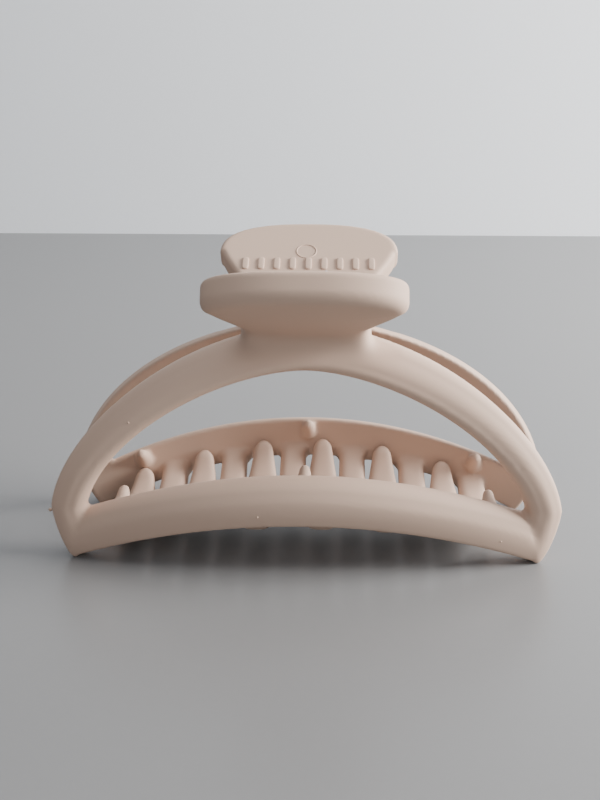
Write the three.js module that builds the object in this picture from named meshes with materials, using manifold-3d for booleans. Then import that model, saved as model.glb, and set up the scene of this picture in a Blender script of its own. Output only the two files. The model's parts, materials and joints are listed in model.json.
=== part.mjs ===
// Claw clip for hair: two identical toothed jaws turn on one hinge pin, and a torsion spring holds them shut.
// Millimetres. X runs along the clip, -Y is the front jaw's side and +Z is up.
// The clip stands on its lower corners, with its jaws closed.
import * as THREE from "three";
import { mergeVertices } from "three/addons/utils/BufferGeometryUtils.js";
import Module from "manifold-3d";

const wasm = await Module();
wasm.setup();

// Jaw frame, seen from the front: a half-moon arch over a bar, with one window between them.
const LENGTH = 110; // over both lower corners
const ARCH_HEIGHT = 48.5; // top edge of the arch above the table
const CORNER_LEVEL = 8; // height of the widest point
const SIDE_BAND = 6.9; // width of the arch band at the corners
const TOP_BAND = 7.9; // width of the arch band at the middle
const ARCH_POWER = 1.8; // outer edge of the arch is a superellipse of this power
const WINDOW_POWER = 1.73; // and its inner edge of this one
const BAR_HEIGHT = 9.7; // height of the lower bar
const BAR_CENTRE_RISE = 10.8; // lower edge of the bar above the table, at the middle
const FOOT_INSET = 5.1; // from the widest point in to where the bar's lower edge would meet the table
const CORNER_RUN = 9; // length of the rounded outer corner, from the widest point in
const CORNER_NOTCH = 5.6; // length of the window's rounded lower corner, from its widest point in
const NOTCH_DIP = 6.5; // how far that corner's curve is drawn down below the widest point
const NOTCH_BAR_LEAN = 0.2; // pull of that curve where it leaves the bar, as a share of the notch
const NOTCH_ARCH_LEAN = 0.38; // and where it meets the arch
const FOOT_CUT = 2.8; // how far the corner's curve is drawn below the table, which cuts each foot flat
const FOOT_BAR_LEAN = 0.47; // pull of that curve where it leaves the bar, as a share of the corner's run
const FOOT_ARCH_LEAN = 0.06; // and where it meets the arch, as a share of the corner's level
const WALL = 4.5; // thickness of the frame
const OUTER_ROUND = 2; // rounding of the frame's outer edges
const INNER_ROUND = 1.3; // rounding of its inner edges
const CROWN = 0.3; // how much the outer face swells between its edges

// Jaw frame, seen from the end: the wall leaves the hinge and bellies outwards.
const BELLY_REACH = 22; // from the middle plane to the outer face at the belly
const BELLY_LEVEL = 12; // below this height the wall stands straight
const SHOULDER_REACH = 6.4; // the same reach at the shoulder, under the lever
const SHOULDER_DROP = 1.5; // from the top of the arch down to the shoulder
const BELLY_POWER = 1.9;
const BOW = 7.8; // how far the corners stand back from the middle, seen from above

// Thumb lever: a plate that leans out from the top of the arch and widens to a rounded pad.
const LEVER_LENGTH = 25.6; // from the neck to the end face
const LEVER_RISE = THREE.MathUtils.degToRad(30); // above the horizontal
const LEVER_THICKNESS = 6.3;
const LEVER_ROOT = 3.5; // how far the plate runs on past the neck, into the arch
const NECK_OUT = 0.8; // underside of the neck outside the shoulder
const NECK_UP = 0.2; // and above it
const NECK_HALF_WIDTH = 14;
const PAD_HALF_WIDTH = 19.9;
const PAD_ROUND = 10; // length over which the pad's outline closes, from its widest place to its end
const PAD_POWER = 2.3; // superellipse power of that outline
const PAD_SWELL = 2; // length over which the sides of the pad turn in towards the neck
const END_ROUND = 2.8; // rounding of the end face
const END_THINNESS = 0.35; // share of the dome's depth left at the very end
const FACE_EDGE = 1; // depth of the rounded edge round the flat inner face
const DOME_POWER = 2.4; // superellipse power of the outer face across the plate
const FACE_SIDE_POWER = 8; // and of the flat inner face
const FACE_EDGE_POWER = 0.6; // how softly the inner face's edge turns over

// Comb teeth.
const TOOTH_PITCH = 14;
const TOOTH_ROOT_WIDTH = 5.6;
const TOOTH_SHOULDER_WIDTH = 6.6; // the widest place, below the tip
const TOOTH_TIP_WIDTH = 4.1;
const TOOTH_ROOT_DEPTH = 4.4;
const TOOTH_TIP_DEPTH = 2.3;
const TOOTH_ROOT_RISE = 2.6; // root centre above the bar's lower edge
const TOOTH_TIP_RISE = 4.9; // tip above the bar's lower edge
const TOOTH_LOW = 3.2; // height that the path leans on where it dips
const TOOTH_LOW_FALL = 0.1; // how much of the bar's fall that height follows
const TOOTH_SAG = 3; // how much lower the path leans towards the tip
const TOOTH_ROOT_LEAN = 0.42; // where the path leans, as a share of the belly's reach
const TOOTH_TIP_LEAN = 0.45;
const TOOTH_SHOULDER = 0.82; // share of the path from the root to the widest place
const TOOTH_TIP_ROUND = 0.09; // share of the path over which the tip is rounded
const TOOTH_TIP_FLAT = 0.3; // share of the section left at the very tip
const TOOTH_SQUARENESS = 0.7; // exponent of its section, 1 for an ellipse
const TOOTH_TAPER = 0.7; // exponent of its depth along the path
const TOOTH_TIP_GAP = 0.9; // between a tip and the other jaw's bar
const TEETH_END_MARGIN = 12; // no tooth stands nearer than this to the widest point

// Grip pegs on the inner face of the bar.
const PEG_SPACING = 39;
const PEG_BASE_RADIUS = 1.85;
const PEG_TIP_RADIUS = 0.8;
const PEG_LENGTH = 4.6;
const PEG_DROP = 2.2; // base centre below the bar's top edge
const PEG_TIP_ROUND = 0.4;
const PEG_TILT = THREE.MathUtils.degToRad(38); // above the horizontal

// Hinge: pin, knuckles and torsion spring.
const HINGE_RISE = 1.5; // from the top of the arch up to the pin's axis
const PIN_RADIUS = 1.25;
const PIN_HEAD_RADIUS = 2;
const PIN_HEAD_LENGTH = 0.8;
const RUNNING_GAP = 0.3; // between parts that turn on each other
const KNUCKLE_WALL = 1.85;
const KNUCKLE_LENGTH = 3.9;
const SPRING_BAY = 9.8; // room between the two inner knuckles
const WEB_HALF_HEIGHT = 2.2;
const WIRE_RADIUS = 0.6;
const COIL_PIN_GAP = 0.5; // from the pin to the inside of the coil
const COIL_TURNS = 5;
const LEG_LENGTH = 12;

const BAR_STATIONS = 6;
const CORNER_STATIONS = 8;
const ARCH_STATIONS = 15;
const ROUND_SEGMENTS = 3;
const HINGE_SIDES = 24;
const LEVER_END_STATIONS = 7;
const LEVER_PLATE_STATIONS = 8;
const LEVER_SIDES = 20;
const TOOTH_STATIONS = 12;
const TOOTH_SIDES = 10;
const PEG_SIDES = 12;
const COIL_STATIONS = 12; // per turn
const WIRE_STATIONS = 90;
const WIRE_SIDES = 8;

const SHOULDER_LEVEL = ARCH_HEIGHT - SHOULDER_DROP;
const HINGE_Z = ARCH_HEIGHT + HINGE_RISE;
const BORE_RADIUS = PIN_RADIUS + RUNNING_GAP;
const KNUCKLE_RADIUS = BORE_RADIUS + KNUCKLE_WALL;
const COIL_RADIUS = PIN_RADIUS + COIL_PIN_GAP + WIRE_RADIUS;
const HALF_LENGTH = LENGTH / 2;
const INNER_KNUCKLE_X = SPRING_BAY / 2;
const OUTER_KNUCKLE_X = INNER_KNUCKLE_X + KNUCKLE_LENGTH + RUNNING_GAP;
const HINGE_END_X = OUTER_KNUCKLE_X + KNUCKLE_LENGTH;
const HINGE_BAY_X = HINGE_END_X + PIN_HEAD_LENGTH + 2 * RUNNING_GAP;

// ---- solids ------------------------------------------------------------------------------------

// A manifold solid from any closed three.js geometry.
function solidOf(geometry) {
  const bare = geometry.clone();
  bare.deleteAttribute("normal");
  bare.deleteAttribute("uv");
  const merged = mergeVertices(bare, 1e-4);
  return new wasm.Manifold(
    new wasm.Mesh({
      numProp: 3,
      vertProperties: merged.attributes.position.array,
      triVerts: new Uint32Array(merged.index.array),
    }),
  );
}

// A closed skin over rings of points, facing out.
// Wrapped rings close on themselves; otherwise each end gets a fan.
function skinOf(rings, wrapped) {
  const count = rings[0].length;
  const points = rings.flat();
  const index = [];
  const last = wrapped ? rings.length : rings.length - 1;
  for (let i = 0; i < last; i++) {
    const a = i * count;
    const b = ((i + 1) % rings.length) * count;
    for (let j = 0; j < count; j++) {
      const k = (j + 1) % count;
      index.push(a + j, b + j, b + k, a + j, b + k, a + k);
    }
  }
  if (!wrapped) {
    const fan = (ring, flip) => {
      const centre = points.length;
      const base = ring * count;
      points.push(rings[ring].reduce((sum, p) => sum.add(p), new THREE.Vector3()).divideScalar(count));
      for (let j = 0; j < count; j++) {
        const k = (j + 1) % count;
        index.push(centre, base + (flip ? k : j), base + (flip ? j : k));
      }
    };
    fan(0, false);
    fan(rings.length - 1, true);
  }
  let volume = 0;
  for (let i = 0; i < index.length; i += 3) {
    const [a, b, c] = [0, 1, 2].map((k) => points[index[i + k]]);
    volume += a.dot(b.clone().cross(c));
  }
  const geometry = new THREE.BufferGeometry().setFromPoints(points);
  geometry.setIndex(volume > 0 ? index : index.reverse());
  return geometry;
}

// A cylinder along X about the hinge axis, from one x to another.
function hingeCylinder(radius, from, to) {
  const geometry = new THREE.CylinderGeometry(radius, radius, to - from, HINGE_SIDES);
  geometry.rotateZ(Math.PI / 2);
  geometry.translate((from + to) / 2, 0, HINGE_Z);
  return geometry;
}

function boxBetween(low, high) {
  const geometry = new THREE.BoxGeometry(high[0] - low[0], high[1] - low[1], high[2] - low[2]);
  geometry.translate((low[0] + high[0]) / 2, (low[1] + high[1]) / 2, (low[2] + high[2]) / 2);
  return geometry;
}

// ---- the jaw's shape ---------------------------------------------------------------------------

const barFall = (x) => BAR_CENTRE_RISE * (x / (HALF_LENGTH - FOOT_INSET)) ** 2;
const barBottom = (x) => BAR_CENTRE_RISE - barFall(x);
const barTop = (x) => barBottom(x) + BAR_HEIGHT;

// Distance of the frame's outer face from the middle plane.
function reachAt(x, z) {
  const up = Math.max(0, z - BELLY_LEVEL) / (SHOULDER_LEVEL - BELLY_LEVEL);
  const belly = BELLY_REACH - (BELLY_REACH - SHOULDER_REACH) * up ** BELLY_POWER;
  return belly - BOW * (x / HALF_LENGTH) ** 2;
}

// A point of a superellipse quarter, from its side (turn 0) to its top (turn 1).
function superellipse(halfWidth, height, power, turn) {
  const angle = (turn * Math.PI) / 2;
  const x = halfWidth * Math.cos(angle) ** (2 / power);
  const z = height * Math.sin(angle) ** (2 / power);
  return new THREE.Vector2(turn === 1 ? 0 : x, CORNER_LEVEL + z);
}

// Inner and outer edge points of the frame, from the middle of the bar, round the corner, to the arch's top.
function halfFrame() {
  const windowHalf = HALF_LENGTH - SIDE_BAND;
  const innerEnd = windowHalf - CORNER_NOTCH;
  const outerEnd = HALF_LENGTH - CORNER_RUN;
  const innerCorner = new THREE.CubicBezierCurve(
    new THREE.Vector2(innerEnd, barTop(innerEnd)),
    new THREE.Vector2(
      windowHalf - NOTCH_BAR_LEAN * CORNER_NOTCH,
      barTop(innerEnd) - NOTCH_BAR_LEAN * NOTCH_DIP,
    ),
    new THREE.Vector2(windowHalf - NOTCH_ARCH_LEAN * CORNER_NOTCH, CORNER_LEVEL - NOTCH_DIP),
    new THREE.Vector2(windowHalf, CORNER_LEVEL),
  );
  const outerCorner = new THREE.CubicBezierCurve(
    new THREE.Vector2(outerEnd, barBottom(outerEnd)),
    new THREE.Vector2(HALF_LENGTH - FOOT_BAR_LEAN * CORNER_RUN, -FOOT_CUT),
    new THREE.Vector2(HALF_LENGTH, FOOT_ARCH_LEAN * CORNER_LEVEL),
    new THREE.Vector2(HALF_LENGTH, CORNER_LEVEL),
  );
  const stations = [];
  for (let i = 0; i < BAR_STATIONS; i++) {
    const share = i / BAR_STATIONS;
    stations.push([
      new THREE.Vector2(innerEnd * share, barTop(innerEnd * share)),
      new THREE.Vector2(outerEnd * share, barBottom(outerEnd * share)),
    ]);
  }
  for (let i = 0; i < CORNER_STATIONS; i++) {
    const t = i / CORNER_STATIONS;
    stations.push([innerCorner.getPoint(t), outerCorner.getPoint(t)]);
  }
  for (let i = 0; i <= ARCH_STATIONS; i++) {
    const turn = i / ARCH_STATIONS;
    const windowTop = ARCH_HEIGHT - TOP_BAND - CORNER_LEVEL;
    stations.push([
      superellipse(windowHalf, windowTop, WINDOW_POWER, turn),
      superellipse(HALF_LENGTH, ARCH_HEIGHT - CORNER_LEVEL, ARCH_POWER, turn),
    ]);
  }
  return stations;
}

// The frame's section, a rectangle with round corners.
// Each point is [distance from the inner edge, depth from the outer face].
function frameSection(width) {
  const points = [];
  const corner = (s, d, radius, start) => {
    for (let i = 0; i <= ROUND_SEGMENTS; i++) {
      const angle = start + (i / ROUND_SEGMENTS) * (Math.PI / 2);
      points.push([s + radius * Math.cos(angle), d + radius * Math.sin(angle)]);
    }
  };
  corner(width - INNER_ROUND, WALL - INNER_ROUND, INNER_ROUND, 0);
  corner(INNER_ROUND, WALL - INNER_ROUND, INNER_ROUND, Math.PI / 2);
  corner(OUTER_ROUND, OUTER_ROUND, OUTER_ROUND, Math.PI);
  points.push([width / 2, -CROWN]);
  corner(width - OUTER_ROUND, OUTER_ROUND, OUTER_ROUND, Math.PI * 1.5);
  return points;
}

function frameSolid() {
  const half = halfFrame();
  const mirrored = half
    .slice(1, -1)
    .reverse()
    .map((pair) => pair.map((p) => new THREE.Vector2(-p.x, p.y)));
  const rings = [...half, ...mirrored].map(([inner, outer]) => {
    const across = outer.clone().sub(inner);
    const width = across.length();
    across.divideScalar(width);
    return frameSection(width).map(([s, d]) => {
      const x = inner.x + across.x * s;
      const z = inner.y + across.y * s;
      return new THREE.Vector3(x, -(reachAt(x, z) - d), z);
    });
  });
  return solidOf(skinOf(rings, true));
}

// The lever's frame in the YZ plane: a point under the neck, the way along the plate and the way through it.
const neck = new THREE.Vector3(0, -SHOULDER_REACH - NECK_OUT, SHOULDER_LEVEL + NECK_UP);
const along = new THREE.Vector3(0, -Math.cos(LEVER_RISE), Math.sin(LEVER_RISE));
const through = new THREE.Vector3(0, Math.sin(LEVER_RISE), Math.cos(LEVER_RISE));

// Half the lever's width at a distance from its end.
function leverHalfWidth(fromEnd) {
  if (fromEnd < PAD_ROUND) {
    const open = 1 - (1 - fromEnd / PAD_ROUND) ** PAD_POWER;
    return PAD_HALF_WIDTH * open ** (1 / PAD_POWER);
  }
  const narrowing = THREE.MathUtils.smoothstep(fromEnd, PAD_ROUND - PAD_SWELL, LEVER_LENGTH);
  return THREE.MathUtils.lerp(PAD_HALF_WIDTH, NECK_HALF_WIDTH, narrowing);
}

function leverSolid() {
  const rings = [];
  for (let i = 1; i <= LEVER_END_STATIONS; i++) {
    const angle = (i / LEVER_END_STATIONS) * (Math.PI / 2);
    const fromEnd = PAD_ROUND * (1 - Math.cos(angle) ** (2 / PAD_POWER));
    rings.push(leverSection(i === LEVER_END_STATIONS ? PAD_ROUND : fromEnd));
  }
  const rest = LEVER_LENGTH + LEVER_ROOT - PAD_ROUND;
  for (let i = 1; i <= LEVER_PLATE_STATIONS; i++) {
    rings.push(leverSection(PAD_ROUND + (i / LEVER_PLATE_STATIONS) * rest));
  }
  return solidOf(skinOf(rings, false));
}

// The plate's section at a distance from its end, with a flat inner face and a domed outer face.
// The dome thins towards the very end.
function leverSection(fromEnd) {
  const halfWidth = leverHalfWidth(fromEnd);
  const shrink = Math.sqrt(1 - Math.max(0, 1 - fromEnd / END_ROUND) ** 2);
  const dome = (LEVER_THICKNESS - FACE_EDGE) * THREE.MathUtils.lerp(END_THINNESS, 1, shrink);
  const edge = neck
    .clone()
    .addScaledVector(along, LEVER_LENGTH - fromEnd)
    .addScaledVector(through, LEVER_THICKNESS - FACE_EDGE);
  const ring = [];
  for (let j = 0; j < LEVER_SIDES; j++) {
    const angle = (2 * Math.PI * (j + 0.5)) / LEVER_SIDES;
    const c = Math.cos(angle);
    const s = Math.sin(angle);
    const power = s > 0 ? FACE_SIDE_POWER : DOME_POWER;
    const x = halfWidth * Math.sign(c) * Math.abs(c) ** (2 / power);
    const up = s > 0 ? FACE_EDGE * s ** FACE_EDGE_POWER : -dome * Math.abs(s) ** (2 / power);
    ring.push(edge.clone().addScaledVector(through, up).setX(x));
  }
  return ring;
}

// One tooth at x: it leaves the bar's inner face, dips under the hair and rises to the other jaw's bar.
function toothSolid(x) {
  const rootZ = barBottom(x) + TOOTH_ROOT_RISE;
  const tipZ = barBottom(x) + TOOTH_TIP_RISE;
  const low = TOOTH_LOW + TOOTH_LOW_FALL * barFall(x);
  const tipReach = reachAt(Math.abs(x) + TOOTH_TIP_WIDTH / 2, tipZ) - WALL - TOOTH_TIP_GAP;
  const path = new THREE.CubicBezierCurve(
    new THREE.Vector2(-(reachAt(x, rootZ) - WALL / 2), rootZ),
    new THREE.Vector2(-BELLY_REACH * TOOTH_ROOT_LEAN, low),
    new THREE.Vector2(BELLY_REACH * TOOTH_TIP_LEAN, low - TOOTH_SAG),
    new THREE.Vector2(tipReach, tipZ),
  );
  const rings = [];
  for (let i = 0; i <= TOOTH_STATIONS; i++) {
    const t = Math.sin(((i / TOOTH_STATIONS) * Math.PI) / 2);
    const centre = path.getPoint(t);
    const tangent = path.getTangent(t);
    const widening = THREE.MathUtils.smoothstep(t, 0, TOOTH_SHOULDER);
    const narrowing = Math.max(0, t - TOOTH_SHOULDER) / (1 - TOOTH_SHOULDER);
    const width = THREE.MathUtils.lerp(
      THREE.MathUtils.lerp(TOOTH_ROOT_WIDTH, TOOTH_SHOULDER_WIDTH, widening),
      TOOTH_TIP_WIDTH,
      narrowing,
    );
    const depth = THREE.MathUtils.lerp(TOOTH_ROOT_DEPTH, TOOTH_TIP_DEPTH, t ** TOOTH_TAPER);
    const intoTip = Math.max(0, t - 1 + TOOTH_TIP_ROUND) / TOOTH_TIP_ROUND;
    const round = Math.sqrt(Math.max(TOOTH_TIP_FLAT ** 2, 1 - intoTip ** 2));
    const ring = [];
    for (let j = 0; j < TOOTH_SIDES; j++) {
      const angle = (2 * Math.PI * j) / TOOTH_SIDES;
      const c = Math.cos(angle);
      const s = Math.sin(angle);
      const across = (width / 2) * round * Math.sign(c) * Math.abs(c) ** TOOTH_SQUARENESS;
      const up = (depth / 2) * round * Math.sign(s) * Math.abs(s) ** TOOTH_SQUARENESS;
      ring.push(new THREE.Vector3(x + across, centre.x - tangent.y * up, centre.y + tangent.x * up));
    }
    rings.push(ring);
  }
  return solidOf(skinOf(rings, false));
}

function pegSolid(x) {
  const baseZ = barTop(x) - PEG_DROP;
  const sunk = WALL / 2;
  const profile = [
    [0, -sunk],
    [PEG_BASE_RADIUS, -sunk],
    [PEG_BASE_RADIUS, 0],
    [PEG_TIP_RADIUS, PEG_LENGTH - PEG_TIP_ROUND],
    [PEG_TIP_RADIUS / 2, PEG_LENGTH],
    [0, PEG_LENGTH],
  ].map(([r, h]) => new THREE.Vector2(r, h));
  const geometry = new THREE.LatheGeometry(profile, PEG_SIDES);
  geometry.rotateX(PEG_TILT);
  geometry.translate(x, -(reachAt(x, baseZ) - WALL), baseZ);
  return solidOf(geometry);
}

// The teeth stand a quarter of a pitch off centre, so that a jaw turned end for end meshes with its twin.
function toothPositions() {
  const places = [];
  const limit = HALF_LENGTH - TEETH_END_MARGIN;
  const first = Math.ceil(-limit / TOOTH_PITCH - 0.25);
  for (let k = first; TOOTH_PITCH * (k + 0.25) <= limit; k++) {
    places.push(TOOTH_PITCH * (k + 0.25));
  }
  return places;
}

// One jaw, front side: its knuckles stand outside on the left and inside on the right.
function jawGeometry() {
  const own = [
    [-HINGE_END_X, -OUTER_KNUCKLE_X],
    [INNER_KNUCKLE_X, INNER_KNUCKLE_X + KNUCKLE_LENGTH],
  ];
  let jaw = frameSolid()
    .add(leverSolid())
    .subtract(solidOf(hingeCylinder(KNUCKLE_RADIUS + RUNNING_GAP, -HINGE_BAY_X, HINGE_BAY_X)));
  for (const [from, to] of own) {
    const web = boxBetween(
      [from, -SHOULDER_REACH + WALL / 4, HINGE_Z - WEB_HALF_HEIGHT],
      [to, 0, HINGE_Z + WEB_HALF_HEIGHT],
    );
    jaw = jaw.add(solidOf(hingeCylinder(KNUCKLE_RADIUS, from, to))).add(solidOf(web));
  }
  jaw = jaw.subtract(solidOf(hingeCylinder(BORE_RADIUS, -HALF_LENGTH, HALF_LENGTH)));
  for (const x of toothPositions()) jaw = jaw.add(toothSolid(x));
  for (const x of [-PEG_SPACING, 0, PEG_SPACING]) jaw = jaw.add(pegSolid(x));
  jaw = jaw.subtract(solidOf(boxBetween([-LENGTH, -LENGTH, -LENGTH], [LENGTH, LENGTH, 0])));
  const mesh = jaw.getMesh();
  const geometry = new THREE.BufferGeometry();
  geometry.setAttribute("position", new THREE.BufferAttribute(mesh.vertProperties, 3));
  geometry.setIndex(new THREE.BufferAttribute(mesh.triVerts, 1));
  geometry.computeVertexNormals();
  return geometry;
}

// ---- the steel pieces --------------------------------------------------------------------------

function pinGeometry() {
  const end = HINGE_END_X + RUNNING_GAP;
  const profile = [
    [0, -end - PIN_HEAD_LENGTH],
    [PIN_HEAD_RADIUS * 0.6, -end - PIN_HEAD_LENGTH],
    [PIN_HEAD_RADIUS, -end - PIN_HEAD_LENGTH / 2],
    [PIN_HEAD_RADIUS, -end],
    [PIN_RADIUS, -end],
  ];
  const both = [...profile, ...profile.map(([r, x]) => [r, -x]).reverse()];
  const geometry = new THREE.LatheGeometry(
    both.map(([r, x]) => new THREE.Vector2(r, x)),
    HINGE_SIDES,
  );
  geometry.rotateZ(-Math.PI / 2);
  geometry.translate(0, 0, HINGE_Z);
  return geometry;
}

// The legs lie on the levers' inner faces, a running gap off them at their tips.
const faceOffset = neck
  .clone()
  .addScaledVector(through, LEVER_THICKNESS)
  .sub(new THREE.Vector3(0, 0, HINGE_Z))
  .dot(through);
const LEG_ANGLE =
  LEVER_RISE - Math.asin((COIL_RADIUS - WIRE_RADIUS - RUNNING_GAP - faceOffset) / LEG_LENGTH);

// The spring's centreline: a leg to the rear lever, the coil round the pin, and a leg to the front lever.
function springPath() {
  const halfCoil = SPRING_BAY / 2 - WIRE_RADIUS - RUNNING_GAP;
  const enter = Math.PI / 2 + LEG_ANGLE;
  const leave = Math.PI / 2 - LEG_ANGLE + 2 * Math.PI * COIL_TURNS;
  const onCoil = (angle, x) =>
    new THREE.Vector3(x, COIL_RADIUS * Math.cos(angle), HINGE_Z + COIL_RADIUS * Math.sin(angle));
  const legPoint = (start, side, distance) => {
    const way = new THREE.Vector3(0, side * Math.cos(LEG_ANGLE), Math.sin(LEG_ANGLE));
    return start.clone().addScaledVector(way, distance);
  };
  const points = [];
  const rearStart = onCoil(enter, halfCoil);
  for (const share of [1, 0.66, 0.33]) points.push(legPoint(rearStart, 1, LEG_LENGTH * share));
  const steps = COIL_STATIONS * COIL_TURNS;
  for (let i = 0; i <= steps; i++) {
    const share = i / steps;
    points.push(onCoil(enter + (leave - enter) * share, halfCoil * (1 - 2 * share)));
  }
  const frontStart = points[points.length - 1];
  for (const share of [0.33, 0.66, 1]) points.push(legPoint(frontStart, -1, LEG_LENGTH * share));
  return new THREE.CatmullRomCurve3(points);
}

function springGeometry() {
  const section = new THREE.Shape().absarc(0, 0, WIRE_RADIUS, 0, 2 * Math.PI);
  return new THREE.ExtrudeGeometry(section, {
    steps: WIRE_STATIONS,
    curveSegments: WIRE_SIDES,
    bevelEnabled: false,
    extrudePath: springPath(),
  });
}

// ---- the assembly ------------------------------------------------------------------------------

const nude = new THREE.MeshStandardMaterial({ color: 0xc9a893, roughness: 0.55, metalness: 0 });
const nudeRear = new THREE.MeshStandardMaterial({ color: 0xc9a893, roughness: 0.55, metalness: 0 });
const pinSteel = new THREE.MeshStandardMaterial({ color: 0xb9bcc0, roughness: 0.3, metalness: 1 });
const springSteel = new THREE.MeshStandardMaterial({ color: 0xa7a9ad, roughness: 0.35, metalness: 1 });

function piece(name, geometry, material) {
  const mesh = new THREE.Mesh(geometry, material);
  mesh.name = name;
  return mesh;
}

const jaw = jawGeometry();
const frontJaw = piece("front_jaw", jaw, nude);
const rearJaw = piece("rear_jaw", jaw.clone().rotateZ(Math.PI), nudeRear);
const hinge = new THREE.Group();
hinge.add(piece("hinge_pin", pinGeometry(), pinSteel));
hinge.add(piece("torsion_spring", springGeometry(), springSteel));

const clip = new THREE.Group();
clip.add(hinge, frontJaw, rearJaw);

export default clip;
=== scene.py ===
"""Claw clip for hair: finished jaws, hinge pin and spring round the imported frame, with a plain studio.

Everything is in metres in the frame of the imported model: X along the clip, -Y the front jaw's side, +Z up,
and the hinge axis along X. A jaw is worked out as closed surfaces (frame, lever, teeth, pegs, knuckles),
which are merged into one moulding with softened corners. The rear jaw is the front one turned end for end.
"""

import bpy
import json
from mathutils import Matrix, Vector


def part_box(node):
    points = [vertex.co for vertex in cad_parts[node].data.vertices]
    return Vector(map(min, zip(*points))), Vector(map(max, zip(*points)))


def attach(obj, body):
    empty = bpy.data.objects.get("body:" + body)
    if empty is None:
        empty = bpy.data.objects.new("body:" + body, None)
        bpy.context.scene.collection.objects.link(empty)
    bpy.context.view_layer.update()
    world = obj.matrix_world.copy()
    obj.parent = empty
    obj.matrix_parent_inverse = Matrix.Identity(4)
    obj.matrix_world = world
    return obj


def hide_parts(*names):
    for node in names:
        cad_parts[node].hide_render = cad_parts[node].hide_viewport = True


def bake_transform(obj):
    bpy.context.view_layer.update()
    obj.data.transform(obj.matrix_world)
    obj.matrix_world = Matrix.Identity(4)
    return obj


bl_info = {
    "name": "Claw Clip Finish",
    "version": (1, 0, 0),
    "blender": (4, 5, 0),
    "location": "3D View > Sidebar > Claw Clip",
    "description": "Moulded jaws, hinge pin, torsion spring and studio for a claw hair clip",
    "category": "Add Mesh",
}

import json
import math

import bpy
import numpy as np
from bpy.props import FloatProperty, FloatVectorProperty, IntProperty, PointerProperty

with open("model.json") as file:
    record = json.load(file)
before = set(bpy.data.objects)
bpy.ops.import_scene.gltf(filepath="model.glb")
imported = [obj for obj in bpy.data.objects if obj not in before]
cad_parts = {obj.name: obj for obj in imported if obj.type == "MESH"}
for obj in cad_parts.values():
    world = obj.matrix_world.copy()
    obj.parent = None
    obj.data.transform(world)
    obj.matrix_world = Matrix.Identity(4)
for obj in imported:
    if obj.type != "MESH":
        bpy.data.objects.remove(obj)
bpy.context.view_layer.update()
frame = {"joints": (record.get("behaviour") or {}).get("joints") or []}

MM = 0.001
JAW_LOW, JAW_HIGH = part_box("front_jaw")
PIN_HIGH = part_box("hinge_pin")[1]
HINGE_Z = frame["joints"][0]["pos_m"][2]

# How finely the surfaces are worked out: stations along an edge or a path, and points round a section.
BAR_STATIONS = 90
CORNER_STATIONS = 40
ARCH_STATIONS = 110
EDGE_POINTS = 11
FACE_POINTS = 19
PAD_STATIONS = 50
SIDE_STATIONS = 70
PLATE_EDGE_POINTS = 9
PLATE_LOOPS = 14
TOOTH_STATIONS = 90
TOOTH_SIDES = 40
PEG_STATIONS = 24
PEG_SIDES = 32
KNUCKLE_POINTS = 48
TURNED_SIDES = 64
RING_POINTS = 48
COIL_STATIONS = 260
LEG_STATIONS = 40

# Shares and small distances that shape the jaw's curves.
NOTCH_LEAN = 3
NOTCH_PLACE = 0.28
NOTCH_SPREAD = 0.26
FOOT_BAR_LEAN = 0.79
FOOT_SIDE_IN = 0.05
FOOT_SIDE_DOWN = 0.48
SLOPE_POWER = 1.4
PAD_WIDEST = 0.7
PAD_CENTRE = 0.55
NECK_START = 0.5 * MM
FLARE_START = 1 * MM
ROOT_FADE = 3 * MM
TOOTH_LOW_FALL = 0.1
TOOTH_ROOT_LEAN = 0.42
TOOTH_TIP_LEAN = 0.45
TOOTH_THINNING = 0.7
TOOTH_TIP_FLAT = 0.02
TOOTH_SQUARENESS = 0.6
PEG_FILLET = 0.3 * MM
KNUCKLE_SQUARENESS = 0.35
WEB_SQUARENESS = 0.25
WEB_SHARE = 0.97
NECK_PASSES = 70
NECK_SIDE = 4 * MM
NECK_FRONT = 1 * MM

# Where the colour masks start and end (the painted glow of light through the peg tips, and the painted shade
# on the frame's inner side), and how far a point stands out on a full edge.
TIP_NEAR = 1.9 * MM
TIP_FAR = 3.4 * MM
TIP_START = 0.1 * MM
TIP_FULL = 0.8
INSIDE_START = 0.55
INSIDE_FULL = 0.95
EDGE_PASSES = 4
EDGE_STAND = 0.06 * MM
DETAIL_EDGE = 0.6

# The pin's heads.
HEAD_DOME_POWER = 0.6
HEAD_RIM = 0.35
HEAD_UNDERSIDE = 0.97

# The camera: place in metres, and turn in degrees.
CAMERA_PLACE = (0.00516, -0.2144, 0.10518)
CAMERA_TURN = (70.92, 0, 1.76)
CAMERA_LENS = 46.8

# The studio: each light's name, place, target, size, power and tint.
BACKDROP_Y = 0.379
CLIP_MIDDLE = (0, 0, 0.03)
BACKDROP_MIDDLE = (0, BACKDROP_Y, 0.12)
LIGHTS = (
    ("window", (0.65, 0.02, 0.29), CLIP_MIDDLE, 0.36, 18.0, (1.0, 0.985, 0.965)),
    ("ceiling", (0.05, 0.05, 0.95), BACKDROP_MIDDLE, 0.7, 3.2, (0.97, 0.98, 1.0)),
    ("front_fill", (-0.1, -0.9, 0.5), CLIP_MIDDLE, 0.7, 2.6, (0.95, 0.97, 1.0)),
)
WORLD_TINT = (0.9, 0.94, 1.0)
WORLD_STRENGTH = 0.17

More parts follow.
